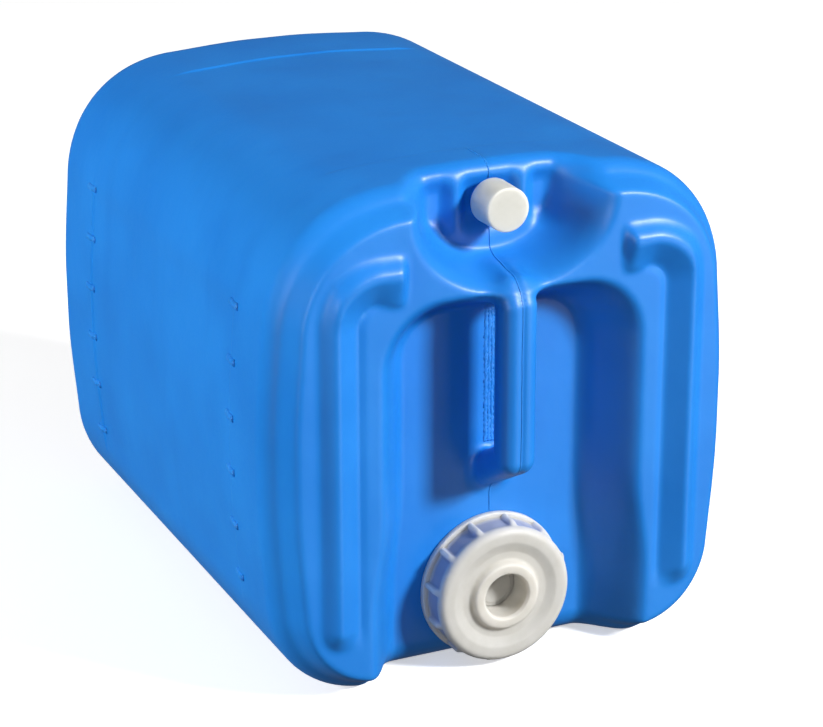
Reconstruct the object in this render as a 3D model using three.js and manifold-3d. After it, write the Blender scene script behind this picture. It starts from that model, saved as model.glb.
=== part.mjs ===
// A stackable 20-litre (5 US gallon) drinks container, lying on its side to pour.
// +Z is up, +X is to the right of someone facing the caps, and the caps face -Y.
// The origin is under the middle of the object, on the surface it rests on. Millimetres.
import * as THREE from 'three';
import { mergeVertices } from 'three/addons/utils/BufferGeometryUtils.js';
import Module from 'manifold-3d';

const wasm = await Module();
wasm.setup();

// Whole body
const LENGTH = 360;
const WIDTH = 267;
const HEIGHT = 274;
const WALL = 2.6;
const TOP_CORNER = 66;
const BOTTOM_CORNER = 54;
const SIDE_CROWN = 5;
const TOP_CROWN = 3.5;
const EDGE_RADIUS = 22;

// Levels of the moulded end, measured back from the foremost point of the grip
const BEAD_DEPTH = 1.4;
const FACE_DEPTH = 8;
const LEDGE_DEPTH = 15;
const VALLEY_DEPTH = 36.8;
const SCOOP_DEPTH = 39;

// Raised face and stacking beads
const FACE_INSET = 7;
const FACE_STEP = 5;
const BEAD_OUTER = 110;
const BEAD_INNER = 83.5;
const BEAD_HOOK_END = 61;
const BEAD_TOP = 240;
const BEAD_HOOK_BOTTOM = 215;
const BEAD_FOOT = 33;
const BEAD_BEND = 34;
const STACKING_CLEARANCE = 2.5;
const RECESS_DEPTH = 10;

// Valley behind the grip, open at the bottom
const VALLEY_HALF = 75.5;
const VALLEY_FLARE_HALF = 81.5;
const VALLEY_TOP = 216;
const VALLEY_BEND = 34;
const VALLEY_SLOPE = 24;
const FLARE_TOP = 100;
const FLARE_BOTTOM = 48;

// Scoop around the vent, open at the top
const SCOOP_HALF = 54;
const SCOOP_CENTRE = 258;
const SCOOP_DROP = 42;
const SCOOP_SLOPE = 15;
const POCKET_INNER = 21;
const POCKET_OUTER = 39;
const POCKET_BOTTOM = 241;
const POCKET_TOP = 262;
const POCKET_DEPTH = 5;

// Grip
const GRIP_WIDTH = 20.5;
const GRIP_THICKNESS = 17.5;
const GRIP_EDGE = 6;
const GRIP_TOP = 222;
const FINGER_TOP = 196;
const FINGER_BOTTOM = 122;
const GRIP_FOOT_FRONT = 112;
const GRIP_FOOT_BACK = 97;

// Filling neck and its cap
const NECK_HEIGHT = 42.2;
const NECK_RADIUS = 34;
const NECK_BORE = 29;
const NECK_LIP_DEPTH = 20.3;
const CAP_RADIUS = 38;
const CAP_BORE = 36;
const CAP_RIB_RADIUS = 40;
const CAP_RIBS = 12;
const CAP_RIB_WIDTH = 3;
const CAP_LENGTH = 17;
const CAP_TOP = 2.2;
const CAP_CORNER = 5;
const DISH_RADIUS = 28;
const DISH_DEPTH = 2.4;
const BOSS_RADIUS = 18.5;
const BOSS_BORE = 12.2;
const BOSS_HEIGHT = 1.6;
const BOSS_LENGTH = 18;
const DISC_THICKNESS = 1.2;
const DISC_RECESS = 15.5;
const RING_RADIUS = 40.6;
const RING_BORE = 35;
const RING_LENGTH = 3.4;
const GASKET_THICKNESS = 1.6;

// Vent neck and its cap
const VENT_HEIGHT = 254;
const VENT_RADIUS = 9.6;
const VENT_BORE = 6.2;
const VENT_CAP_DEPTH = 18.3;
const VENT_CAP_RADIUS = 12;
const VENT_CAP_BORE = 10.3;
const VENT_CAP_LENGTH = 19.4;
const VENT_CAP_TOP = 1.8;
const LINER_THICKNESS = 0.9;

const GAP = 0.35;
const ROUND_SEGMENTS = 42;
const SMALL_SEGMENTS = 24;

const depth = (distance) => distance - LENGTH / 2;

const bodyPlastic = new THREE.MeshStandardMaterial({ color: 0x2f7fe0, roughness: 0.38, metalness: 0 });
const capPlastic = new THREE.MeshStandardMaterial({ color: 0xeceae4, roughness: 0.45, metalness: 0 });
const ventPlastic = new THREE.MeshStandardMaterial({ color: 0xf6f0e2, roughness: 0.4, metalness: 0 });
const sealFoam = new THREE.MeshStandardMaterial({ color: 0xf4f4f0, roughness: 0.8, metalness: 0 });

// A closed three.js geometry as a solid that can be cut and joined
function solid(geometry) {
  const bare = geometry.index ? geometry.toNonIndexed() : geometry.clone();
  bare.deleteAttribute('normal');
  bare.deleteAttribute('uv');
  const merged = mergeVertices(bare, 1e-4);
  const vertProperties = new Float32Array(merged.attributes.position.array);
  const corners = Array.from(merged.index.array);
  const kept = [];
  for (let i = 0; i < corners.length; i += 3) {
    const [a, b, c] = corners.slice(i, i + 3);
    if (a !== b && b !== c && c !== a) kept.push(a, b, c);
  }
  return new wasm.Manifold(new wasm.Mesh({ numProp: 3, vertProperties, triVerts: new Uint32Array(kept) }));
}

function toGeometry(manifold) {
  const mesh = manifold.getMesh();
  const geometry = new THREE.BufferGeometry();
  geometry.setAttribute('position', new THREE.BufferAttribute(new Float32Array(mesh.vertProperties), 3));
  geometry.setIndex(new THREE.BufferAttribute(new Uint32Array(mesh.triVerts), 1));
  geometry.computeVertexNormals();
  return geometry;
}

// A front-view outline pushed back from one depth to another. Its widest section is the outline,
// less the inset, and both ends narrow over the edge's run.
function block(shape, front, back, edge, inset = 0, curveSegments = 6) {
  const geometry = new THREE.ExtrudeGeometry(shape, {
    depth: back - front - 2 * edge.run,
    curveSegments,
    bevelThickness: edge.run,
    bevelSize: edge.size,
    bevelOffset: -edge.size - inset,
    bevelSegments: edge.segments,
  });
  geometry.rotateX(Math.PI / 2);
  geometry.translate(0, depth(back - edge.run), 0);
  return solid(geometry);
}

function mirrored(manifold) {
  return manifold.add(manifold.mirror([1, 0, 0]));
}

// A lathe profile of [radius, depth] pairs, turned about an axis along Y at a given height
function turned(profile, height, segments) {
  const points = profile.map(([radius, back]) => new THREE.Vector2(radius, depth(back)));
  points.push(points[0].clone());
  const geometry = new THREE.LatheGeometry(points, segments);
  geometry.translate(0, 0, height);
  let made = solid(geometry);
  if (made.volume() < 0) {
    const order = geometry.index.array;
    for (let i = 0; i < order.length; i += 3) [order[i], order[i + 1]] = [order[i + 1], order[i]];
    made = solid(geometry);
  }
  return made;
}

// The body's section: round corners, three crowned sides and a flat side to rest on
function bodyOutline(inset) {
  const side = WIDTH / 2 - SIDE_CROWN - inset;
  const top = HEIGHT - TOP_CROWN - inset;
  const upper = TOP_CORNER - inset;
  const lower = BOTTOM_CORNER - inset;
  const shape = new THREE.Shape();
  shape.moveTo(-side + lower, inset);
  shape.lineTo(side - lower, inset);
  shape.absarc(side - lower, inset + lower, lower, -Math.PI / 2, 0, false);
  shape.quadraticCurveTo(side + 2 * SIDE_CROWN, HEIGHT / 2, side, top - upper);
  shape.absarc(side - upper, top - upper, upper, 0, Math.PI / 2, false);
  shape.quadraticCurveTo(0, top + 2 * TOP_CROWN, -side + upper, top);
  shape.absarc(-side + upper, top - upper, upper, Math.PI / 2, Math.PI, false);
  shape.quadraticCurveTo(-side - 2 * SIDE_CROWN, HEIGHT / 2, -side, inset + lower);
  shape.absarc(-side + lower, inset + lower, lower, Math.PI, 1.5 * Math.PI, false);
  return shape;
}

// One raised bead: a long leg, a bend and a short hook that turns inwards
function beadOutline() {
  const foot = (BEAD_OUTER - BEAD_INNER) / 2;
  const round = 8;
  const fillet = 10;
  const shape = new THREE.Shape();
  shape.moveTo(BEAD_OUTER, BEAD_FOOT + foot);
  shape.lineTo(BEAD_OUTER, BEAD_TOP - BEAD_BEND);
  shape.absarc(BEAD_OUTER - BEAD_BEND, BEAD_TOP - BEAD_BEND, BEAD_BEND, 0, Math.PI / 2, false);
  shape.absarc(BEAD_HOOK_END + round, BEAD_TOP - round, round, Math.PI / 2, Math.PI, false);
  shape.absarc(BEAD_HOOK_END + round, BEAD_HOOK_BOTTOM + round, round, Math.PI, 1.5 * Math.PI, false);
  shape.absarc(BEAD_INNER - fillet, BEAD_HOOK_BOTTOM - fillet, fillet, Math.PI / 2, 0, true);
  shape.absarc(BEAD_INNER + foot, BEAD_FOOT + foot, foot, Math.PI, 2 * Math.PI, false);
  return shape;
}

// The valley's rim: two rounded upper corners, and sides that flare out near the bottom
function valleyOutline() {
  const shape = new THREE.Shape();
  const below = -60;
  shape.moveTo(-VALLEY_FLARE_HALF, below);
  shape.lineTo(VALLEY_FLARE_HALF, below);
  shape.lineTo(VALLEY_FLARE_HALF, FLARE_BOTTOM);
  shape.lineTo(VALLEY_HALF, FLARE_TOP);
  shape.absarc(VALLEY_HALF - VALLEY_BEND, VALLEY_TOP - VALLEY_BEND, VALLEY_BEND, 0, Math.PI / 2, false);
  shape.absarc(-VALLEY_HALF + VALLEY_BEND, VALLEY_TOP - VALLEY_BEND, VALLEY_BEND, Math.PI / 2, Math.PI, false);
  shape.lineTo(-VALLEY_HALF, FLARE_TOP);
  shape.lineTo(-VALLEY_FLARE_HALF, FLARE_BOTTOM);
  return shape;
}

function scoopOutline() {
  const above = HEIGHT + 60;
  const shape = new THREE.Shape();
  shape.moveTo(SCOOP_HALF, above);
  shape.lineTo(-SCOOP_HALF, above);
  shape.absellipse(0, SCOOP_CENTRE, SCOOP_HALF, SCOOP_DROP, Math.PI, 2 * Math.PI, false, 0);
  return shape;
}

function pocketOutline() {
  const shape = new THREE.Shape();
  shape.moveTo(POCKET_INNER, POCKET_BOTTOM);
  shape.lineTo(POCKET_OUTER - 6, POCKET_BOTTOM);
  shape.lineTo(POCKET_OUTER, POCKET_BOTTOM + 6);
  shape.lineTo(POCKET_OUTER, POCKET_TOP);
  shape.lineTo(POCKET_INNER, POCKET_TOP);
  return shape;
}

// The grip seen from the side, with its two legs running back into the body. Its finger gap is
// the space that the legs leave in front of the valley floor.
function grip(inset) {
  const root = depth(VALLEY_DEPTH + 8);
  const front = depth(0);
  const back = depth(GRIP_THICKNESS);
  const shape = new THREE.Shape();
  shape.moveTo(root, GRIP_FOOT_BACK - 4);
  shape.lineTo(root, FINGER_BOTTOM);
  shape.lineTo(back + 6, FINGER_BOTTOM);
  shape.lineTo(back, FINGER_BOTTOM + 5);
  shape.lineTo(back, FINGER_TOP - 5);
  shape.lineTo(back + 6, FINGER_TOP);
  shape.lineTo(root, FINGER_TOP);
  shape.lineTo(root, GRIP_TOP);
  shape.lineTo(front + 7, GRIP_TOP + 1);
  shape.lineTo(front + 2, GRIP_TOP - 8);
  shape.lineTo(front, GRIP_TOP - 30);
  shape.lineTo(front, GRIP_FOOT_FRONT + 8);
  shape.lineTo(front + 4, GRIP_FOOT_FRONT + 1);
  shape.lineTo(front + 18, GRIP_FOOT_BACK + 9);
  const geometry = new THREE.ExtrudeGeometry(shape, {
    depth: GRIP_WIDTH - 2 * GRIP_EDGE,
    bevelThickness: GRIP_EDGE - inset,
    bevelSize: GRIP_EDGE - inset,
    bevelOffset: -GRIP_EDGE,
    bevelSegments: 3,
  });
  geometry.applyMatrix4(new THREE.Matrix4().set(0, 0, 1, 0, 1, 0, 0, 0, 0, 1, 0, 0, 0, 0, 0, 1));
  geometry.translate(-GRIP_WIDTH / 2 + GRIP_EDGE, 0, 0);
  return solid(geometry);
}

// The outside of the moulding as a solid, drawn in everywhere by the inset
function bodyForm(inset) {
  const rounding = (radius) => ({ run: radius, size: radius, segments: 3 });
  const long = block(bodyOutline(inset), LEDGE_DEPTH + inset, LENGTH - inset, rounding(EDGE_RADIUS - inset), 0, 6);
  const ahead = -60;
  const step = { run: LEDGE_DEPTH - FACE_DEPTH, size: FACE_STEP, segments: 1 };
  const face = block(bodyOutline(FACE_INSET), FACE_DEPTH + inset, LEDGE_DEPTH + 60, step, inset, 6);
  const beadEdge = { run: 4, size: 4, segments: 2 };
  const beads = mirrored(block(beadOutline(), BEAD_DEPTH + inset, FACE_DEPTH + 30, beadEdge, inset, 4));
  const slope = { run: VALLEY_DEPTH - FACE_DEPTH, size: VALLEY_SLOPE, segments: 1 };
  const valley = block(valleyOutline(), ahead, VALLEY_DEPTH + inset, slope, -inset, 5);
  const scoopSlope = { run: SCOOP_DEPTH - FACE_DEPTH, size: SCOOP_SLOPE, segments: 2 };
  const scoop = block(scoopOutline(), ahead, SCOOP_DEPTH + inset, scoopSlope, -inset, 9);
  const pocketEdge = { run: 3, size: 3, segments: 1 };
  const pockets = mirrored(
    block(pocketOutline(), SCOOP_DEPTH - 10, SCOOP_DEPTH + POCKET_DEPTH + inset, pocketEdge, -inset),
  );
  const recessEdge = { run: 3, size: 3, segments: 1 };
  const recess = block(beadOutline(), LENGTH - RECESS_DEPTH - inset, LENGTH + 30, recessEdge,
    -STACKING_CLEARANCE - inset, 4);
  return long.add(face).add(beads).subtract(valley).subtract(scoop).subtract(pockets)
    .subtract(mirrored(recess)).add(grip(inset));
}

function body() {
  const floor = VALLEY_DEPTH + WALL / 2;
  const neck = turned([
    [NECK_BORE - 1, NECK_LIP_DEPTH], [NECK_RADIUS - 0.8, NECK_LIP_DEPTH], [NECK_RADIUS, NECK_LIP_DEPTH + 0.8],
    [NECK_RADIUS, floor], [NECK_BORE - 1, floor],
  ], NECK_HEIGHT, ROUND_SEGMENTS);
  const bore = turned([[0, NECK_LIP_DEPTH - 5], [NECK_BORE, NECK_LIP_DEPTH - 5],
    [NECK_BORE, VALLEY_DEPTH + 20], [0, VALLEY_DEPTH + 20]], NECK_HEIGHT, ROUND_SEGMENTS);
  const ventLip = VENT_CAP_DEPTH + VENT_CAP_TOP + LINER_THICKNESS + 2 * GAP;
  const ventNeck = turned([
    [VENT_BORE - 1, ventLip], [VENT_RADIUS - 0.6, ventLip], [VENT_RADIUS, ventLip + 0.6],
    [VENT_RADIUS, SCOOP_DEPTH + WALL / 2], [VENT_BORE - 1, SCOOP_DEPTH + WALL / 2],
  ], VENT_HEIGHT, SMALL_SEGMENTS);
  const ventBore = turned([[0, ventLip - 5], [VENT_BORE, ventLip - 5],
    [VENT_BORE, SCOOP_DEPTH + 20], [0, SCOOP_DEPTH + 20]], VENT_HEIGHT, SMALL_SEGMENTS);
  return bodyForm(0).subtract(bodyForm(WALL)).add(neck).add(ventNeck).subtract(bore).subtract(ventBore);
}

const capFront = NECK_LIP_DEPTH - GASKET_THICKNESS - 2 * GAP - CAP_TOP;

function mainCap() {
  const back = capFront + CAP_LENGTH;
  const dish = capFront + DISH_DEPTH;
  const bossFront = capFront - BOSS_HEIGHT;
  const shell = turned([
    [BOSS_BORE, bossFront], [BOSS_RADIUS - 1.5, bossFront], [BOSS_RADIUS, bossFront + 1.5], [BOSS_RADIUS, dish],
    [DISH_RADIUS - 2, dish], [DISH_RADIUS, capFront], [CAP_RADIUS - CAP_CORNER, capFront],
    [CAP_RADIUS - CAP_CORNER * 0.29, capFront + CAP_CORNER * 0.29], [CAP_RADIUS, capFront + CAP_CORNER],
    [CAP_RADIUS, back], [CAP_BORE, back], [CAP_BORE, capFront + CAP_TOP], [DISH_RADIUS, capFront + CAP_TOP],
    [DISH_RADIUS - 2, dish + CAP_TOP], [BOSS_BORE + 2.2, dish + CAP_TOP], [BOSS_BORE + 2.2, bossFront + BOSS_LENGTH],
    [BOSS_BORE, bossFront + BOSS_LENGTH],
  ], NECK_HEIGHT, ROUND_SEGMENTS);
  const ribReach = CAP_RIB_RADIUS - CAP_BORE - 0.6;
  const ribLength = CAP_LENGTH - CAP_CORNER;
  let cap = shell;
  for (let i = 0; i < CAP_RIBS; i += 1) {
    const rib = new THREE.BoxGeometry(CAP_RIB_WIDTH, ribLength, ribReach);
    rib.translate(0, depth(back - ribLength / 2), CAP_RIB_RADIUS - ribReach / 2);
    rib.rotateY((i * 2 * Math.PI) / CAP_RIBS);
    rib.translate(0, 0, NECK_HEIGHT);
    cap = cap.add(solid(rib));
  }
  return cap;
}

// Named piece: geometry about the neck's own centre height, so the mesh is placed by its position
function piece(name, manifold, material, height = 0) {
  const mesh = new THREE.Mesh(toGeometry(manifold.translate([0, 0, -height])), material);
  mesh.name = name;
  mesh.position.z = height;
  return mesh;
}

const ringBack = VALLEY_DEPTH - GAP;
const gasketFront = capFront + CAP_TOP + GAP;
const discFront = capFront - BOSS_HEIGHT + DISC_RECESS;
const ventBack = VENT_CAP_DEPTH + VENT_CAP_LENGTH;
const linerFront = VENT_CAP_DEPTH + VENT_CAP_TOP + GAP;

const tamperRing = turned([[RING_BORE, ringBack - RING_LENGTH], [RING_RADIUS - 1, ringBack - RING_LENGTH],
  [RING_RADIUS, ringBack - RING_LENGTH + 1], [RING_RADIUS, ringBack], [RING_BORE, ringBack]],
NECK_HEIGHT, ROUND_SEGMENTS);
const gasket = turned([[NECK_BORE - 0.5, gasketFront], [CAP_BORE - 0.6, gasketFront],
  [CAP_BORE - 0.6, gasketFront + GASKET_THICKNESS], [NECK_BORE - 0.5, gasketFront + GASKET_THICKNESS]],
NECK_HEIGHT, ROUND_SEGMENTS);
const knockOutDisc = turned([[0, discFront], [BOSS_BORE - GAP, discFront],
  [BOSS_BORE - GAP, discFront + DISC_THICKNESS], [0, discFront + DISC_THICKNESS]], NECK_HEIGHT, SMALL_SEGMENTS);
const ventCap = turned([[0, VENT_CAP_DEPTH], [VENT_CAP_RADIUS - 1, VENT_CAP_DEPTH],
  [VENT_CAP_RADIUS, VENT_CAP_DEPTH + 1], [VENT_CAP_RADIUS, ventBack], [VENT_CAP_BORE, ventBack],
  [VENT_CAP_BORE, VENT_CAP_DEPTH + VENT_CAP_TOP], [0, VENT_CAP_DEPTH + VENT_CAP_TOP]],
VENT_HEIGHT, SMALL_SEGMENTS);
const ventLiner = turned([[0, linerFront], [VENT_CAP_BORE - GAP, linerFront],
  [VENT_CAP_BORE - GAP, linerFront + LINER_THICKNESS], [0, linerFront + LINER_THICKNESS]],
VENT_HEIGHT, SMALL_SEGMENTS);

const closure = new THREE.Group();
closure.add(piece('tamper_ring', tamperRing, capPlastic, NECK_HEIGHT));
closure.add(piece('main_gasket', gasket, sealFoam, NECK_HEIGHT));
closure.add(piece('main_cap', mainCap(), capPlastic, NECK_HEIGHT));
closure.add(piece('knock_out_disc', knockOutDisc, capPlastic, NECK_HEIGHT));

const vent = new THREE.Group();
vent.add(piece('vent_cap', ventCap, ventPlastic, VENT_HEIGHT));
vent.add(piece('vent_liner', ventLiner, sealFoam, VENT_HEIGHT));

const container = new THREE.Group();
container.add(piece('body', body(), bodyPlastic));
container.add(closure);
container.add(vent);

export default container;
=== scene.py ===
import math

import bmesh
import bpy
import numpy as np
from mathutils import Matrix, Vector


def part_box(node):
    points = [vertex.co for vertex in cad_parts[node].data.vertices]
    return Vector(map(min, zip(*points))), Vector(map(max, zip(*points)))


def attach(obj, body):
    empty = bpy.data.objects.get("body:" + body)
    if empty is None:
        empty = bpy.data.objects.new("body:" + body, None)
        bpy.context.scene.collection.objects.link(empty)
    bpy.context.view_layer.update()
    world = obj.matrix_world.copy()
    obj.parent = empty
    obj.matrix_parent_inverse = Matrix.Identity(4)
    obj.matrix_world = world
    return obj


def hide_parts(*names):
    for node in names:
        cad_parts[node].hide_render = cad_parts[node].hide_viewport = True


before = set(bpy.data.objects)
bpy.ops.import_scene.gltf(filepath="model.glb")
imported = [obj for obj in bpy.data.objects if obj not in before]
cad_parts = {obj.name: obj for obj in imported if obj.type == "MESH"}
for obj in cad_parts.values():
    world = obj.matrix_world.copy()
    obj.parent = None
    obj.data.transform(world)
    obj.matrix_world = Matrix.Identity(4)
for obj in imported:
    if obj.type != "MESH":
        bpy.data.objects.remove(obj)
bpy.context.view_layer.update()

# Lengths are in millimetres until a mesh is made, and depth is measured back from the
# foremost point of the grip. Heights are above the surface that the container lies on.
MM = 0.001
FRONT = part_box("body")[0].y / MM
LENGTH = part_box("body")[1].y / MM - FRONT
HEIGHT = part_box("body")[1].z / MM
HALF_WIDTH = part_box("body")[1].x / MM

SIDE_CROWN = 5.0
TOP_CROWN = 3.5
TOP_CORNER = 66.0
BOTTOM_CORNER = 54.0
EDGE_RADIUS = 15.5
BACK_RADIUS = 22.0

LEDGE = 17.5
FACE = 8.0
VALLEY = 36.8
SCOOP = 39.0
BEAD_RISE = 7.4

NECK_HEIGHT = (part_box("main_cap")[0].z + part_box("main_cap")[1].z) / 2 / MM
VENT_HEIGHT = (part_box("vent_cap")[0].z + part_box("vent_cap")[1].z) / 2 / MM
CAP_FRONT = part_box("main_cap")[0].y / MM - FRONT
CAP_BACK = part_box("main_cap")[1].y / MM - FRONT
VENT_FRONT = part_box("vent_cap")[0].y / MM - FRONT
VENT_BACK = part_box("vent_cap")[1].y / MM - FRONT

PANEL_FRONT = 68.5
PANEL_BACK = 294.0
PANEL_STEP = 0.9

NECK_INNER = 29.0
NECK_OUTER = 34.0
VENT_INNER = 6.2
VENT_OUTER = 9.4
NECK_CUT = 31.0
VENT_CUT = 8.0
CUT_END = 60.0

CAP_RADIUS = 38.1
CAP_BORE = 36.0
BOSS_BORE = 12.2
BOSS_OUTER = 14.4
RIBS = 12
RIB_PHASE = math.radians(20)

MARK_LEVELS = 6
MARK_LOWEST = 58.0
MARK_SPACING = 30.0
MARK_LENGTH = 11.0

# ---------------------------------------------------------------- shape helpers

def ease(t):
    t = np.clip(t, 0, 1)
    return t * t * (3 - 2 * t)


def ramp(t, rounding):
    """0 before 0 and 1 after 1, straight between, with both corners rounded."""
    def corner(s):
        curved = (s + rounding) ** 2 / (4 * rounding)
        return np.where(s < -rounding, 0, np.where(s > rounding, s, curved))
    return corner(t) - corner(t - 1)


def round_max(a, b, radius):
    """The inside of both a and b, with a round edge of that radius between them."""
    outside = np.hypot(np.maximum(a + radius, 0), np.maximum(b + radius, 0))
    return outside + np.minimum(np.maximum(a, b) + radius, 0) - radius


def smooth_min(a, b, blend):
    h = np.clip(0.5 + 0.5 * (b - a) / blend, 0, 1)
    return b + (a - b) * h - blend * h * (1 - h)


def bump(t):
    """1 at 0, falling smoothly to 0 at -1 and 1."""
    return ease(1 - np.abs(t))


# ---------------------------------------------------------------- the body's surface

def section(x, z):
    """Distance outside the body's cross-section: crowned sides and top, a flat underside."""
    half = HALF_WIDTH - SIDE_CROWN
    top = HEIGHT - TOP_CROWN
    middle = (top - TOP_CORNER + BOTTOM_CORNER) / 2
    reach = (top - TOP_CORNER - BOTTOM_CORNER) / 2
    bulge = SIDE_CROWN * ease(1.15 - np.abs(z - middle) / reach * 0.85)
    side = np.abs(x) - half - bulge
    crown = TOP_CROWN * ease(1.15 - np.abs(x) / (half - TOP_CORNER) * 0.85)
    above = round_max(side, z - top - crown, TOP_CORNER)
    below = round_max(side, -z, BOTTOM_CORNER)
    return np.where(z > middle, above, below)


def valley_edges(x, z):
    """Distances outside the valley's rim and outside its floor."""
    flare = ease((102 - z) / 56)
    a = np.abs(x)
    rim = round_max(a - 76 - 6 * flare, z - 216.5, 36)
    floor = round_max(a - 49.5 - 4.5 * flare, z - 197.5, 22)
    return rim, floor


def scoop_edge(x, z):
    """Distance outside the scoop's rim: a half-round bottom and an open top."""
    a = np.abs(x)
    low = np.hypot(a / 54, np.minimum(z - 258, 0) / 42) - 1
    return low * 46


def bead_height(x, z):
    """Height of a stacking bead: a steep outer wall, a crown and a long slope into a groove."""
    a = np.abs(x)
    across = -round_max(a - 110.5, z - 241, 35)
    outer = ramp((across + 0.6) / 6.4, 0.48)
    groove = 0.47 * ease((a - 66) / 14) - 0.25
    slope = (1 + groove) * ramp((across - 8.5) / 15.5, 0.14)
    inner = 1 - slope + groove * ramp((across - 23) / 3.6, 0.45)
    end = ramp((a - 60.5) / 4.2, 0.45)
    foot_edge = -round_max(33 - z, a - 110, 14)
    foot = ramp(foot_edge / 10, 0.2)
    return BEAD_RISE * smooth_min(outer, inner, 0.22) * end * foot


def pocket(x, z):
    """How far the shallow pockets beside the vent's ribs are sunk, from 0 to 1."""
    a = np.abs(x)
    inner = ramp((41 - a) / 7, 0.4) * ramp((z - 237) / 8, 0.4)
    rib = 1 - bump((a - 19) / 8.5)
    lid = ramp((269 - z) / 8, 0.4)
    return inner * rib * lid


def front_depth(x, z):
    """Depth of the moulded end at each place in the front view."""
    inset = -section(x, z)
    depth = LEDGE - (LEDGE - FACE) * ramp((inset - 7) / 5.5, 0.3)
    depth = depth - bead_height(x, z)
    rim, floor = valley_edges(x, z)
    wall = ease(-rim / np.maximum(floor - rim, 4))
    depth = depth + (VALLEY - depth) * wall
    scoop = ramp(-scoop_edge(x, z) / 11, 0.42)
    depth = depth + (SCOOP - depth) * scoop
    return depth + 5 * pocket(x, z) * scoop


def back_depth(x, z):
    """Depth of the base, with recesses that take the beads of the container below."""
    a = np.abs(x)
    across = -round_max(a - 113, z - 243.5, 36)
    channel = ramp(across / 4, 0.4) * ramp((31.5 - across) / 4, 0.4)
    ends = ramp((a - 58.5) / 4, 0.4) * ramp((z - 30.5) / 8, 0.3)
    return LENGTH - 9.8 * channel * ends


def grip(x, depth, z):
    """Distance outside the hollow grip: a rounded bar that bends back into the valley."""
    route = [(25.0, 215.0), (13.5, 213.5), (8.75, 206.5), (8.75, 123.5), (44.0, 104.0)]
    away = np.full(np.broadcast(depth, z).shape, 1e3)
    for (d0, z0), (d1, z1) in zip(route, route[1:]):
        run_d, run_z = d1 - d0, z1 - z0
        t = ((depth - d0) * run_d + (z - z0) * run_z) / (run_d ** 2 + run_z ** 2)
        t = np.clip(t, 0, 1)
        away = np.minimum(away, np.hypot(depth - d0 - t * run_d, z - z0 - t * run_z))
    half_width, half_thickness, corner = 10.25, 8.75, 7.6
    groove = 0.75 * np.exp(-((x / 1.5) ** 2))
    qx = np.abs(x) - half_width + corner
    qd = away - half_thickness + corner + groove
    outside = np.hypot(np.maximum(qx, 0), np.maximum(qd, 0))
    return outside + np.minimum(np.maximum(qx, qd), 0) - corner


def panel_step(x, depth, z):
    """How far the flat label panels on the four sides lie below the body's skin."""
    along = ramp((depth - PANEL_FRONT) / 1.6, 0.3) * ramp((PANEL_BACK - depth) / 1.6, 0.3)
    across_side = ease((z - 40) / 16) * ease((216 - z) / 16)
    across_top = ease((80 - np.abs(x)) / 16)
    on_side = np.abs(x) > HALF_WIDTH - 30
    return PANEL_STEP * along * np.where(on_side, across_side, across_top)


def skin_field(x, depth, z):
    """Negative inside the moulding's outer skin, zero on it, in millimetres near it."""
    skin = section(x, z) + panel_step(x, depth, z)
    front = front_depth(x, z) - depth
    open_top = ease((z - 225) / 20) * ease((50 - np.abs(x)) / 10)
    front_edge = EDGE_RADIUS - 5 * open_top
    ahead = round_max(skin, front, front_edge)
    behind = round_max(skin, depth - back_depth(x, z), BACK_RADIUS)
    shell = np.where(depth < LENGTH / 2, ahead, behind)
    return smooth_min(shell, grip(x, depth, z), 5.5 + 6.5 * ease((z - 190) / 22))


def body_field(x, depth, z):
    """The skin's field with the openings of both necks cut through it."""
    bore = np.hypot(x, z - NECK_HEIGHT) - NECK_CUT
    vent = np.hypot(x, z - VENT_HEIGHT) - VENT_CUT
    holes = np.minimum(np.maximum(bore, depth - CUT_END), np.maximum(vent, depth - CUT_END))
    return np.maximum(skin_field(x, depth, z), -holes)


# ---------------------------------------------------------------- from field to mesh

def spaced(*stretches):
    """Grid lines from (start, end, step) stretches that follow on from each other."""
    lines = [np.arange(start, end - step / 2, step) for start, end, step in stretches]
    return np.concatenate(lines + [[stretches[-1][1]]])


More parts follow.
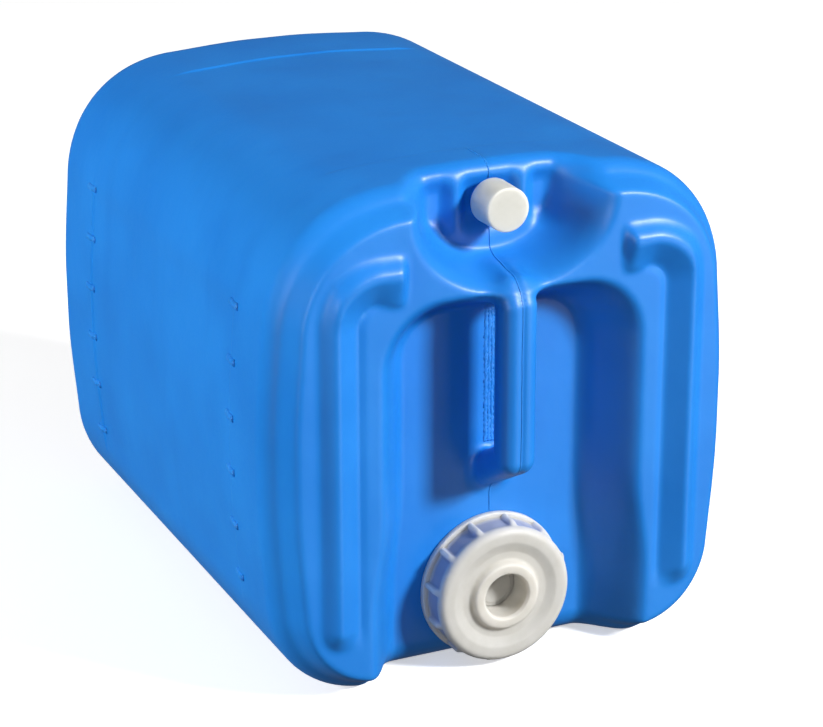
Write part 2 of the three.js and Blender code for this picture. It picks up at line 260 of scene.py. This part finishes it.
def surface_net(field, xs, ys, zs):
    """Vertices and quads of the field's zero surface, with one vertex in each crossed cell."""
    corners = [(i, j, k) for i in (0, 1) for j in (0, 1) for k in (0, 1)]
    shape = tuple(n - 1 for n in field.shape)
    inside = field < 0
    count = np.zeros(shape, np.int8)
    for i, j, k in corners:
        count += inside[i:i + shape[0], j:j + shape[1], k:k + shape[2]]
    ci, cj, ck = np.nonzero((count > 0) & (count < 8))
    total = np.zeros((len(ci), 3))
    crossings = np.zeros(len(ci))
    for start in corners:
        for axis in range(3):
            if start[axis]:
                continue
            end = tuple(c + (n == axis) for n, c in enumerate(start))
            a = [c + s for c, s in zip((ci, cj, ck), start)]
            b = [c + s for c, s in zip((ci, cj, ck), end)]
            fa, fb = field[tuple(a)], field[tuple(b)]
            crossed = (fa < 0) != (fb < 0)
            t = np.where(crossed, fa / np.where(crossed, fa - fb, 1), 0)[:, None]
            pa = np.stack([xs[a[0]], ys[a[1]], zs[a[2]]], 1)
            pb = np.stack([xs[b[0]], ys[b[1]], zs[b[2]]], 1)
            total += np.where(crossed[:, None], pa + t * (pb - pa), 0)
            crossings += crossed
    vertices = total / crossings[:, None]
    index = np.full(shape, -1, np.int32)
    index[ci, cj, ck] = np.arange(len(ci))
    quads = []
    for axis in range(3):
        u, v = (axis + 1) % 3, (axis + 2) % 3
        low = np.take(inside, range(field.shape[axis] - 1), axis)
        high = np.take(inside, range(1, field.shape[axis]), axis)
        for way, crossed in ((1, low & ~high), (-1, ~low & high)):
            at = np.stack(np.nonzero(crossed), 1)
            at = at[(at[:, u] > 0) & (at[:, v] > 0)]
            at = at[(at[:, u] < field.shape[u] - 1) & (at[:, v] < field.shape[v] - 1)]
            ring = []
            for du, dv in ((-1, -1), (0, -1), (0, 0), (-1, 0))[::way]:
                cell = at.copy()
                cell[:, u] += du
                cell[:, v] += dv
                ring.append(index[tuple(cell.T)])
            quads.append(np.stack(ring, 1))
    return vertices, np.concatenate(quads)


def field_slope(points, field=body_field, reach=0.2):
    slope = np.zeros_like(points)
    for axis in range(3):
        shift = np.zeros(3)
        shift[axis] = reach
        slope[:, axis] = field(*(points + shift).T) - field(*(points - shift).T)
    return slope / (2 * reach)


def settle(points, rounds=3, furthest=0.7, field=body_field):
    """Moves points onto the body's surface, never further than the given distance a round."""
    for _ in range(rounds):
        slope = field_slope(points, field)
        step = (field(*points.T) / np.maximum((slope ** 2).sum(1), 0.05))[:, None] * slope
        size = np.maximum(np.linalg.norm(step, axis=1, keepdims=True), 1e-9)
        points = points - step * np.minimum(1, furthest / size)
    return points


def in_place(points):
    """Row-frame metres for points given as x, depth and height in millimetres."""
    points = np.asarray(points, float)
    return (points + np.array([0, FRONT, 0])) * MM


def add_mesh(name, points, faces, material, body="container"):
    """A new piece from points in place, riding on a body."""
    mesh = bpy.data.meshes.new(name)
    mesh.from_pydata(in_place(points).tolist(), [], [tuple(face) for face in faces])
    mesh.shade_smooth()
    mesh.materials.append(material)
    piece = bpy.data.objects.new(name, mesh)
    bpy.context.scene.collection.objects.link(piece)
    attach(piece, body)
    return piece


def apply_modifiers(piece):
    bpy.context.view_layer.update()
    graph = bpy.context.evaluated_depsgraph_get()
    mesh = bpy.data.meshes.new_from_object(piece.evaluated_get(graph))
    piece.modifiers.clear()
    piece.data = mesh


# ---------------------------------------------------------------- turned pieces

def filleted(corners, steps=6):
    """A closed profile from (radius, depth, fillet) corners, each fillet an arc."""
    out = []
    for n, (r, d, fillet) in enumerate(corners):
        here = np.array([r, d])
        before = np.array(corners[n - 1][:2]) - here
        after = np.array(corners[(n + 1) % len(corners)][:2]) - here
        if not fillet:
            out.append(here)
            continue
        before_size, after_size = np.linalg.norm(before), np.linalg.norm(after)
        before, after = before / before_size, after / after_size
        half = math.acos(np.clip(before @ after, -1, 1)) / 2
        reach = min(fillet / math.tan(half), 0.48 * before_size, 0.48 * after_size)
        radius = reach * math.tan(half)
        bisector = (before + after) / np.linalg.norm(before + after)
        centre = here + bisector * radius / math.sin(half)
        first = here + before * reach - centre
        last = here + after * reach - centre
        turn = math.atan2(first[0] * last[1] - first[1] * last[0], first @ last)
        for step in range(steps + 1):
            a = turn * step / steps
            rotation = np.array([[math.cos(a), -math.sin(a)], [math.sin(a), math.cos(a)]])
            out.append(centre + rotation @ first)
    return np.array(out)


def resampled(profile, step):
    """The same closed profile with no gap between its points longer than the step."""
    out = []
    for here, there in zip(profile, np.roll(profile, -1, axis=0)):
        parts = max(1, int(math.ceil(np.linalg.norm(there - here) / step)))
        out.extend(here + (there - here) * n / parts for n in range(parts))
    return np.array(out)


def turned(profile, height, segments, change=None):
    """Points and faces of a closed profile turned about an axis along Y at that height."""
    angles = np.arange(segments) * 2 * math.pi / segments
    radius = np.repeat(profile[None, :, 0], segments, 0)
    depth = np.repeat(profile[None, :, 1], segments, 0)
    if change is not None:
        radius, depth = change(angles[:, None], radius, depth)
    points = np.stack([radius * np.cos(angles)[:, None], depth,
                       height + radius * np.sin(angles)[:, None]], 2)
    count = len(profile)
    a = np.arange(segments)[:, None] * count + np.arange(count)
    b = np.arange(segments)[:, None] * count + (np.arange(count) + 1) % count
    c = (a + count) % (segments * count)
    d = (b + count) % (segments * count)
    return points.reshape(-1, 3), np.stack([a, b, d, c], 2).reshape(-1, 4)


def add_turned(name, corners, height, segments, material, body, step=2.0, change=None):
    profile = resampled(filleted(corners), step)
    points, faces = turned(profile, height, segments, change)
    piece = add_mesh(name, points, faces, material, body)
    made = bmesh.new()
    made.from_mesh(piece.data)
    bmesh.ops.remove_doubles(made, verts=made.verts, dist=1e-6)
    bmesh.ops.recalc_face_normals(made, faces=made.faces)
    made.to_mesh(piece.data)
    made.free()
    return piece


# ---------------------------------------------------------------- materials

def colour(red, green, blue):
    """Linear colour from the 0 to 255 values of a screen."""
    def linear(value):
        value = value / 255
        return value / 12.92 if value <= 0.04045 else ((value + 0.055) / 1.055) ** 2.4
    return linear(red), linear(green), linear(blue), 1.0


class Nodes:
    """Adds nodes to a material and links them."""

    def __init__(self, name):
        self.material = bpy.data.materials.new(name)
        self.material.use_nodes = True
        self.tree = self.material.node_tree
        self.shader = self.tree.nodes["Principled BSDF"]
        self.place = self.tree.nodes.new("ShaderNodeNewGeometry").outputs["Position"]

    def add(self, kind, **settings):
        node = self.tree.nodes.new("ShaderNode" + kind)
        for key, value in settings.items():
            setattr(node, key, value)
        return node

    def put(self, value, socket):
        if isinstance(value, bpy.types.NodeSocket):
            self.tree.links.new(value, socket)
        else:
            socket.default_value = value

    def noise(self, size, detail=3.0, roughness=0.55):
        """Noise whose features are about that many millimetres across."""
        node = self.add("TexNoise")
        self.put(self.place, node.inputs["Vector"])
        node.inputs["Scale"].default_value = 1 / (size * MM)
        node.inputs["Detail"].default_value = detail
        node.inputs["Roughness"].default_value = roughness
        return node.outputs["Fac"]

    def stretched(self, size, along):
        """Noise drawn out along one axis by the given factor."""
        scale = self.add("Mapping")
        self.put(self.place, scale.inputs["Vector"])
        scale.inputs["Scale"].default_value = [1 / s for s in along]
        node = self.add("TexNoise")
        self.put(scale.outputs["Vector"], node.inputs["Vector"])
        node.inputs["Scale"].default_value = 1 / (size * MM)
        node.inputs["Detail"].default_value = 4.0
        return node.outputs["Fac"]

    def scaled(self, value, low, high, new_low=0.0, new_high=1.0):
        node = self.add("MapRange")
        for key, number in zip(("Value", "From Min", "From Max", "To Min", "To Max"),
                               (value, low, high, new_low, new_high)):
            self.put(number, node.inputs[key])
        return node.outputs["Result"]

    def sum(self, a, b, operation="ADD"):
        node = self.add("Math", operation=operation)
        self.put(a, node.inputs[0])
        self.put(b, node.inputs[1])
        return node.outputs["Value"]

    def mixed(self, amount, a, b):
        node = self.add("Mix", data_type="RGBA")
        self.put(amount, node.inputs[0])
        self.put(a, node.inputs[6])
        self.put(b, node.inputs[7])
        return node.outputs[2]

    def bumped(self, height, distance):
        node = self.add("Bump")
        node.inputs["Strength"].default_value = 1.0
        node.inputs["Distance"].default_value = distance * MM
        self.put(height, node.inputs["Height"])
        self.put(node.outputs["Normal"], self.shader.inputs["Normal"])

    def edges(self):
        """1 on sharply convex edges, where a moulding is rubbed, and 0 elsewhere."""
        pointiness = self.add("NewGeometry").outputs["Pointiness"]
        return self.scaled(pointiness, 0.52, 0.60)

    def finish(self, base, roughness, **inputs):
        self.put(base, self.shader.inputs["Base Color"])
        self.put(roughness, self.shader.inputs["Roughness"])
        for key, value in inputs.items():
            socket = key.replace("_", " ").title().replace("Ior", "IOR")
            self.shader.inputs[socket].default_value = value
        return self.material


def blue_polyethylene():
    nodes = Nodes("blue_polyethylene")
    cloud = nodes.noise(70.0, 2.0)
    streaks = nodes.stretched(26.0, (1.0, 1.0, 5.0))
    grain = nodes.noise(0.9, 2.0)
    ripple = nodes.noise(16.0, 2.0)
    tone = nodes.scaled(cloud, 0.35, 0.65)
    base = nodes.mixed(tone, colour(22, 120, 208), colour(28, 127, 215))
    base = nodes.mixed(nodes.scaled(streaks, 0.55, 0.75, 0.0, 0.25), base, colour(16, 108, 196))
    rubbed = nodes.sum(nodes.edges(), nodes.scaled(nodes.noise(5.0), 0.35, 0.7), "MULTIPLY")
    base = nodes.mixed(nodes.scaled(rubbed, 0.0, 1.0, 0.0, 0.3), base, colour(88, 160, 236))
    fine_gloss = nodes.scaled(grain, 0.3, 0.7, -0.03, 0.03)
    gloss = nodes.sum(fine_gloss, nodes.scaled(cloud, 0.3, 0.7, 0.4, 0.48))
    fine_height = nodes.scaled(grain, 0.0, 1.0, 0.0, 0.035)
    height = nodes.sum(fine_height, nodes.scaled(ripple, 0.0, 1.0, 0.0, 0.5))
    nodes.bumped(height, 0.5)
    return nodes.finish(base, gloss, subsurface_weight=0.08, subsurface_scale=0.004,
                        subsurface_radius=(0.2, 0.5, 1.0))


def white_polypropylene(name, light, shade, rough):
    """Milky cap plastic; in the windows between the ribs, where the wall is thin, a grey-blue is
    painted: partly the blue behind showing through, partly painted shade in the recess.
    """
    nodes = Nodes(name)
    cloud = nodes.noise(14.0, 3.0)
    grain = nodes.noise(0.7, 2.0)
    base = nodes.mixed(nodes.scaled(cloud, 0.35, 0.65), light, shade)
    # Painted shade and see-through tint: the skirt's windows are mixed towards a grey-blue, partly the
    # body behind showing through, partly painted shade in the recess.
    window_tint_and_shade = nodes.add("Attribute", attribute_name="window_tint_and_shade").outputs["Fac"]
    base = nodes.mixed(nodes.sum(window_tint_and_shade, 0.72, "MULTIPLY"), base, colour(134, 146, 186))
    rings = nodes.stretched(1.6, (4.0, 0.5, 4.0))
    fine_height = nodes.scaled(grain, 0.0, 1.0, 0.0, 0.05)
    height = nodes.sum(fine_height, nodes.scaled(rings, 0.0, 1.0, 0.0, 0.08))
    nodes.bumped(height, 0.4)
    gloss = nodes.scaled(cloud, 0.3, 0.7, rough - 0.05, rough + 0.06)
    return nodes.finish(base, gloss, subsurface_weight=0.7, subsurface_scale=0.012,
                        subsurface_radius=(1.0, 0.95, 0.9))


def seal_foam():
    nodes = Nodes("seal_foam")
    cells = nodes.noise(0.5, 4.0)
    base = nodes.mixed(nodes.scaled(cells, 0.35, 0.65), colour(214, 214, 208), colour(176, 176, 170))
    nodes.bumped(cells, 0.15)
    return nodes.finish(base, nodes.scaled(cells, 0.3, 0.7, 0.7, 0.85))


def pale_floor():
    nodes = Nodes("pale_floor")
    cloud = nodes.noise(400.0, 2.0)
    base = nodes.mixed(nodes.scaled(cloud, 0.3, 0.7), colour(246, 246, 246), colour(250, 250, 250))
    return nodes.finish(base, 0.9, specular_ior_level=0.05, emission_color=(1, 1, 1, 1),
                        emission_strength=0.5)


def pale_wall():
    nodes = Nodes("pale_wall")
    return nodes.finish(colour(60, 60, 60), 1.0, emission_color=(1, 1, 1, 1), emission_strength=0.97)


# ---------------------------------------------------------------- the moulding

def body_mesh():
    """Points and faces of the outer skin, with larger faces on the long plain stretches."""
    step = 1.6
    half = np.arange(0, HALF_WIDTH + 2 * step, step)
    xs = np.concatenate([-half[:0:-1], half])
    zs = np.arange(-2 * step, HEIGHT + 2 * step, step)
    ds = spaced((-2.4, 50, 1.4), (50, PANEL_FRONT - 2, 2.2), (PANEL_FRONT - 2, PANEL_FRONT + 4, 0.6),
                (PANEL_FRONT + 4, PANEL_BACK - 4, 5.4), (PANEL_BACK - 4, PANEL_BACK + 2, 0.6),
                (PANEL_BACK + 2, 334, 4.5), (334, LENGTH + 3, 1.5))
    quarter = body_field(half[:, None, None], ds[None, :, None], zs[None, None, :])
    field = np.concatenate([quarter[:0:-1], quarter])
    points, quads = surface_net(field, xs, ds, zs)
    points, group = merged(points, ds, 2 * step)
    return settle(points), group[quads]


def merged(points, layers, size):
    """One point for all that share a cell of that size, on the long plain stretches and base."""
    coarse = (points[:, 1] > 54) & (points[:, 1] < 338)
    coarse |= (points[:, 1] >= 338) & (np.abs(points[:, 0]) < 52)
    column = np.floor(points[:, [0, 2]] / size).astype(int)
    layer = np.searchsorted(layers, points[:, 1])
    key = np.stack([column[:, 0], layer, column[:, 1]], 1)
    own = np.stack([np.arange(len(points)), np.full(len(points), -1), np.zeros(len(points), int)], 1)
    key = np.where(coarse[:, None], key, own)
    _, group = np.unique(key, axis=0, return_inverse=True)
    group = group.ravel()
    count = np.bincount(group)
    points = np.stack([np.bincount(group, points[:, axis]) / count for axis in range(3)], 1)
    return points, group


def tidy_faces(quads):
    """Drops repeated corners: a quad keeps four, becomes a triangle or disappears."""
    same = quads == np.roll(quads, -1, axis=1)
    whole = quads[~same.any(1)]
    whole = whole[(whole[:, 0] != whole[:, 2]) & (whole[:, 1] != whole[:, 3])]
    faces = whole.tolist()
    for quad, repeated in zip(quads[same.sum(1) == 1], same[same.sum(1) == 1]):
        corners = [int(c) for c, r in zip(quad, repeated) if not r]
        if len(set(corners)) == 3:
            faces.append(corners)
    return faces


def cavity_mesh(wall=4.0, around=120, furthest=220.0):
    """A plain closed form well inside the skin, for the space that holds the drink."""
    angles = np.arange(around) * 2 * math.pi / around
    middle = HEIGHT / 2
    directions = np.stack([np.cos(angles), np.sin(angles)], 1)
    low, high = np.zeros(around), np.full(around, furthest)
    for _ in range(30):
        reach = (low + high) / 2
        outside = section(directions[:, 0] * reach, middle + directions[:, 1] * reach) > -wall - 1
        low, high = np.where(outside, low, reach), np.where(outside, reach, high)
    stations = ((VALLEY + 13, 20), (VALLEY + 15, 13), (VALLEY + 21, 5), (VALLEY + 30, 0),
                (LENGTH - 40, 0), (LENGTH - 26, 5), (LENGTH - 18, 13), (LENGTH - 16, 20))
    rings = []
    for depth, inset in stations:
        reach = low - inset
        ring = np.stack([directions[:, 0] * reach, np.full(around, float(depth)),
                         middle + directions[:, 1] * reach], 1)
        rings.append(ring)
    faces = [tuple(range(around))]
    for n in range(len(rings) - 1):
        for k in range(around):
            nxt = (k + 1) % around
            here, there = n * around, (n + 1) * around
            faces.append((here + k, there + k, there + nxt, here + nxt))
    faces.append(tuple(range((len(rings) - 1) * around, len(rings) * around))[::-1])
    return np.concatenate(rings), faces


def closed_object(name, points, faces):
    """An object with all its faces turned outward, not yet riding on anything."""
    mesh = bpy.data.meshes.new(name)
    mesh.from_pydata(in_place(points).tolist(), [], faces)
    mesh.validate()
    made = bmesh.new()
    made.from_mesh(mesh)
    bmesh.ops.recalc_face_normals(made, faces=made.faces)
    made.to_mesh(mesh)
    made.free()
    piece = bpy.data.objects.new(name, mesh)
    bpy.context.scene.collection.objects.link(piece)
    return piece


def make_body(material):
    points, quads = body_mesh()
    body = closed_object("container_body", points, tidy_faces(quads))
    body.data.materials.append(material)
    inner = closed_object("cavity", *cavity_mesh())
    cut = body.modifiers.new("hollow", "BOOLEAN")
    cut.object = inner
    cut.operation = "DIFFERENCE"
    cut.solver = "MANIFOLD"
    apply_modifiers(body)
    bpy.data.objects.remove(inner)
    body.data.shade_smooth()
    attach(body, "container")
    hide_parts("body")


def seam_path(start=66.0, lowest=84.0, step=0.8):
    """The parting line down the middle of the moulded end, traced over the skin from the top."""
    point = settle(np.array([[0.0, start, HEIGHT]]), field=skin_field)
    path = [point]
    while point[0, 2] > lowest:
        _, ahead, above = field_slope(point, skin_field)[0]
        along = np.array([0.0, -above, ahead]) / math.hypot(ahead, above)
        point = settle(point + step * along, rounds=1, field=skin_field)
        path.append(point)
    return np.concatenate(path)


def bead_along(path, width, height, wander=0.0, rough=0.0, seed=1):
    """A low ridge lying on the skin along a path, as points and faces of a closed strip."""
    rng = np.random.default_rng(seed)
    count = len(path)
    slope = field_slope(path)
    up = slope / np.maximum(np.linalg.norm(slope, axis=1, keepdims=True), 1e-6)
    ahead = np.gradient(path, axis=0)
    across = np.cross(ahead, up)
    across /= np.maximum(np.linalg.norm(across, axis=1, keepdims=True), 1e-6)
    drift = np.convolve(rng.normal(0, 1, count), np.ones(9) / 9, "same")[:, None] * wander
    centre = path + across * drift
    lift = height * (1 + rough * rng.uniform(-1, 1, (count, 5)))
    profile = [(-1.0, -0.6), (-0.55, 0.75), (0.0, 1.0), (0.55, 0.75), (1.0, -0.6)]
    spread = width / 2 * (1 + rough * 0.5 * rng.uniform(-1, 1, (count, 5)))
    points = np.concatenate([centre[:, None] + across[:, None] * (spread[:, n] * s)[:, None, None]
                             + up[:, None] * (lift[:, n] * t)[:, None, None]
                             for n, (s, t) in enumerate(profile)], 1)
    faces = []
    sides = len(profile)
    for n in range(count - 1):
        for k in range(sides):
            nxt = (k + 1) % sides
            faces.append((n * sides + k, n * sides + nxt, (n + 1) * sides + nxt, (n + 1) * sides + k))
    faces.append(tuple(range(sides))[::-1])
    faces.append(tuple(range((count - 1) * sides, count * sides)))
    return points.reshape(-1, 3), faces


def add_bead(name, path, material, width, height, **variation):
    points, faces = bead_along(path, width, height, **variation)
    piece = add_mesh(name, points, faces, material)
    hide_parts("body")


def make_parting_line(material):
    add_bead("parting_line", seam_path(), material, 1.1, 0.42, wander=0.25, seed=3)


def make_pinch_welds(material):
    """Rough ridges side by side on the valley's floor, where the mould pinched the grip off."""
    heights = np.arange(123, 197, 0.9)
    for n, x in enumerate((-2.6, -0.9, 0.9, 2.6)):
        path = np.stack([np.full_like(heights, x), np.full_like(heights, VALLEY), heights], 1)
        add_bead(f"pinch_weld_{n + 1}", settle(path), material, 2.9, 0.4,
                 wander=0.35, rough=0.8, seed=10 + n)


def make_filling_marks(material):
    """Two columns of short ridges on each side, across the ends of the label panel."""
    points_each = 14
    columns = (("front", PANEL_FRONT - 6), ("back", PANEL_BACK - 5))
    for side, name in ((-1, "left"), (1, "right")):
        x = np.full(points_each, side * (HALF_WIDTH - 1))
        for level in range(MARK_LEVELS):
            z = np.full(points_each, MARK_LOWEST + MARK_SPACING * level)
            for column, start in columns:
                depths = np.linspace(start, start + MARK_LENGTH, points_each)
                path = settle(np.stack([x, depths, z], 1), 6)
                add_bead(f"filling_mark_{name}_{column}_{level + 1}", path, material, 5.0, 1.3)


# ---------------------------------------------------------------- necks and closures

def thread(start, end, pitch, rise, reach):
    """A change for turned(): a ridge that winds along the outside of a neck."""
    def change(angles, radius, depth):
        turns = (depth - start) / pitch - angles / (2 * math.pi)
        near = np.abs(turns - np.round(turns)) * pitch
        on = ease((depth - start) / 1.5) * ease((end - depth) / 1.5) * (radius > reach)
        return radius + rise * ease(1.25 - near / 1.1) * on, depth
    return change


def make_filling_neck(material):
    lip, root = CAP_FRONT + 6.1, 46.0
    corners = [(NECK_INNER, lip, 0.6), (NECK_OUTER, lip, 1.0), (NECK_OUTER, root, 0.0),
               (NECK_INNER, root, 0.0)]
    change = thread(lip + 1.6, lip + 12.5, 4.2, 1.2, NECK_OUTER - 0.5)
    neck = add_turned("filling_neck", corners, NECK_HEIGHT, 144, material, "container",
                      0.7, change)
    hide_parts("body")


def make_vent_neck(material):
    lip, root = VENT_FRONT + 3.4, 48.0
    corners = [(VENT_INNER, lip, 0.4), (VENT_OUTER, lip, 0.6), (VENT_OUTER, root, 0.0),
               (VENT_INNER, root, 0.0)]
    change = thread(lip + 1.2, lip + 11.5, 2.8, 0.55, VENT_OUTER - 0.2)
    neck = add_turned("vent_neck", corners, VENT_HEIGHT, 96, material, "container",
                      0.5, change)
    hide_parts("body")


def span(node):
    """Front depth, back depth and radius of a CAD node that is turned about a neck's axis."""
    low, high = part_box(node)
    return low.y / MM - FRONT, high.y / MM - FRONT, (high.x - low.x) / 2 / MM


def cap_ribs(angles):
    """1 on the crest of each rib, and 0 between them."""
    apart = (angles - RIB_PHASE) * RIBS / (2 * math.pi)
    off = np.abs(apart - np.round(apart)) * 2 * math.pi / RIBS * 38.5
    return ease(1 - (off - 0.9) / 1.5)


def cap_change(angles, radius, depth):
    """Ribs that stand out of the skirt, with shallow windows between them."""
    skirt = (radius > 36.6) * ease((depth - CAP_FRONT - 4.5) / 4.5)
    rib = cap_ribs(angles)
    end = ease((CAP_BACK - depth) / 2.2)
    return radius + skirt * (1.9 * rib - 0.7 * (1 - rib) * end), depth


def mark_windows(cap):
    """Gives each point of the cap the value 1 in the windows where the skirt is thin between two ribs;
    the material paints these grey-blue, partly see-through tint, partly painted shade.
    """
    window_tint_and_shade = cap.data.attributes.new("window_tint_and_shade", "FLOAT", "POINT")
    places = np.zeros(len(cap.data.vertices) * 3)
    cap.data.vertices.foreach_get("co", places)
    places = places.reshape(-1, 3) / MM
    x, z = places[:, 0], places[:, 2] - NECK_HEIGHT
    depth = places[:, 1] - FRONT
    # Mask of the windows that get the painted shade and see-through tint.
    window = (1 - cap_ribs(np.arctan2(z, x))) * (np.hypot(x, z) > CAP_BORE + 0.5)
    window = window * ease((depth - CAP_FRONT - 5.5) / 3.5) * ease((CAP_BACK - 0.6 - depth) / 1.2)
    window_tint_and_shade.data.foreach_set("value", window.astype(np.float32))


def make_main_cap(material):
    face = CAP_FRONT + 1.6
    dish = face + 2.4
    wall = 2.2
    boss_back = CAP_FRONT + 18
    corners = [
        (13.4, CAP_FRONT, 0.6), (18.0, CAP_FRONT, 1.6), (20.0, dish - 0.5, 2.0), (24.4, dish - 0.5, 4.0),
        (30.0, face, 5.0), (CAP_RADIUS, face, 6.4), (CAP_RADIUS, CAP_BACK, 0.4),
        (CAP_BORE, CAP_BACK, 0.3), (CAP_BORE, face + wall, 0.5), (28.0, face + wall, 0.5),
        (26.0, dish + wall, 0.5),
        (BOSS_OUTER, dish + wall, 0.6), (BOSS_OUTER, boss_back, 0.3), (BOSS_BORE, boss_back, 0.3),
        (BOSS_BORE, CAP_FRONT + 1.6, 0.5),
    ]
    cap = add_turned("screw_cap", corners, NECK_HEIGHT, 360, material, "main_cap",
                     0.9, cap_change)
    mark_windows(cap)
    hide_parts("main_cap")


def make_membrane(material):
    """The closed disc in the cap's boss, thinner in a ring near its edge so that it knocks out."""
    front, back, radius = span("knock_out_disc")
    corners = [(0, front, 0), (radius - 2.4, front, 0.3), (radius - 1.9, front + 0.5, 0.3),
               (radius, front + 0.5, 0.2), (radius, back, 0.2), (0, back, 0)]
    disc = add_turned("knock_out_membrane", corners, NECK_HEIGHT, 96, material,
                      "main_cap")
    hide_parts("knock_out_disc")


def make_tamper_band(material):
    front, back, radius = span("tamper_ring")
    bore = 35.0
    corners = [(bore, front, 0.3), (radius, front, 0.9), (radius, back, 0.4), (bore, back, 0.3)]
    ring = add_turned("tamper_band", corners, NECK_HEIGHT, 240, material, "container")
    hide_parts("tamper_ring")


def make_vent_cap(material):
    roof = VENT_FRONT + 1.8
    outer, bore = 12.0, 10.3
    corners = [(0, VENT_FRONT, 0), (outer - 0.3, VENT_FRONT, 1.0), (outer, VENT_BACK, 0.4),
               (bore, VENT_BACK, 0.3), (bore, roof, 0.4), (0, roof, 0)]
    cap = add_turned("vent_screw_cap", corners, VENT_HEIGHT, 128, material,
                     "vent_cap", 1.2)
    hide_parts("vent_cap")


def make_seal(node, name, body, height, bore, material):
    front, back, radius = span(node)
    fillet = 0.2 if bore else 0.0
    corners = [(bore, front, fillet), (radius, front, 0.2), (radius, back, 0.2), (bore, back, fillet)]
    piece = add_turned(name, corners, height, 120, material, body)
    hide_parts(node)


# ---------------------------------------------------------------- the stage

def hide_from_object(piece):
    """Keeps the piece in view and off the object: no reflection, bounced light or shadow of it."""
    piece.visible_glossy = False
    piece.visible_diffuse = False
    piece.visible_shadow = False


def make_floor():
    bpy.ops.mesh.primitive_grid_add(x_subdivisions=8, y_subdivisions=8, size=14.0)
    floor = bpy.context.active_object
    floor.name = "floor"
    floor.data.materials.append(pale_floor())
    hide_from_object(floor)


def make_backdrop(radius=6.9, height=6.0, sides=64):
    """A pale ring round the stage, so that a low view looks at it and not past the floor."""
    points, faces = [], []
    for n in range(sides):
        angle = n * 2 * math.pi / sides
        for z in (-0.01, height):
            points.append((radius * math.cos(angle), radius * math.sin(angle), z))
        after = 2 * (n + 1) % (2 * sides)
        faces.append((2 * n, after, after + 1, 2 * n + 1))
    mesh = bpy.data.meshes.new("backdrop")
    mesh.from_pydata(points, [], faces)
    mesh.materials.append(pale_wall())
    wall = bpy.data.objects.new("backdrop", mesh)
    bpy.context.scene.collection.objects.link(wall)
    hide_from_object(wall)


def add_light(name, place, size, watts, diffuse=True, glossy=True, aim=(0.0, -0.05, 0.12)):
    lamp = bpy.data.lights.new(name, "AREA")
    lamp.shape = "RECTANGLE"
    lamp.size, lamp.size_y = size
    lamp.energy = watts
    light = bpy.data.objects.new(name, lamp)
    light.location = place
    light.rotation_euler = (Vector(aim) - Vector(place)).to_track_quat("-Z", "Y").to_euler()
    light.visible_diffuse = diffuse
    light.visible_glossy = glossy
    bpy.context.scene.collection.objects.link(light)


def make_lights():
    world = bpy.data.worlds.new("studio")
    world.use_nodes = True
    background = world.node_tree.nodes["Background"]
    background.inputs["Color"].default_value = (1.0, 1.0, 1.0, 1.0)
    background.inputs["Strength"].default_value = 0.12
    bpy.context.scene.world = world
    add_light("key", (1.4, -1.86, 1.4), (0.42, 0.42), 98)
    add_light("fill", (-2.4, 0.4, 0.85), (1.4, 1.0), 68, glossy=False)
    add_light("front_fill", (-1.3, -1.9, 0.5), (1.0, 1.0), 8, glossy=False)
    add_light("strip", (-1.8, -1.2, 0.5), (0.16, 1.0), 9, diffuse=False)
    add_light("sheen", (0.95, -1.45, -0.2), (0.9, 0.6), 3.5, diffuse=False)


def make_camera():
    """Looks at the moulded end from in front of its left side, and a little from above."""
    azimuth, pitch, roll = (math.radians(a) for a in (24.7208, 20.3676, -0.0889))
    flat = Vector((math.sin(azimuth), math.cos(azimuth), 0))
    ahead = flat * math.cos(pitch) - Vector((0, 0, 1)) * math.sin(pitch)
    level = ahead.cross(Vector((0, 0, 1))).normalized()
    above = level.cross(ahead)
    right = level * math.cos(roll) + above * math.sin(roll)
    up = right.cross(ahead)
    camera = bpy.data.objects.new("camera", bpy.data.cameras.new("camera"))
    camera.data.sensor_width = 36.0
    camera.data.lens = 113.59
    turn = Matrix((right, up, -ahead)).transposed().to_4x4()
    camera.matrix_world = Matrix.Translation((-0.56523, -1.27279, 0.63478)) @ turn
    bpy.context.scene.collection.objects.link(camera)
    bpy.context.scene.camera = camera


blue = blue_polyethylene()
make_body(blue)
make_parting_line(blue)
make_pinch_welds(blue)
make_filling_marks(blue)
make_filling_neck(blue)
make_vent_neck(blue)
cap_white = white_polypropylene("cap_polypropylene", colour(214, 210, 202), colour(206, 202, 193), 0.5)
make_main_cap(cap_white)
make_membrane(cap_white)
make_tamper_band(cap_white)
vent_white = white_polypropylene("vent_polyethylene", colour(233, 229, 214), colour(225, 221, 205), 0.5)
make_vent_cap(vent_white)
foam = seal_foam()
make_seal("main_gasket", "cap_gasket", "main_gasket", NECK_HEIGHT, 28.5, foam)
make_seal("vent_liner", "vent_wad", "vent_liner", VENT_HEIGHT, 0.0, foam)
make_floor()
make_backdrop()
make_lights()
make_camera()
bpy.context.scene.view_settings.view_transform = "Standard"
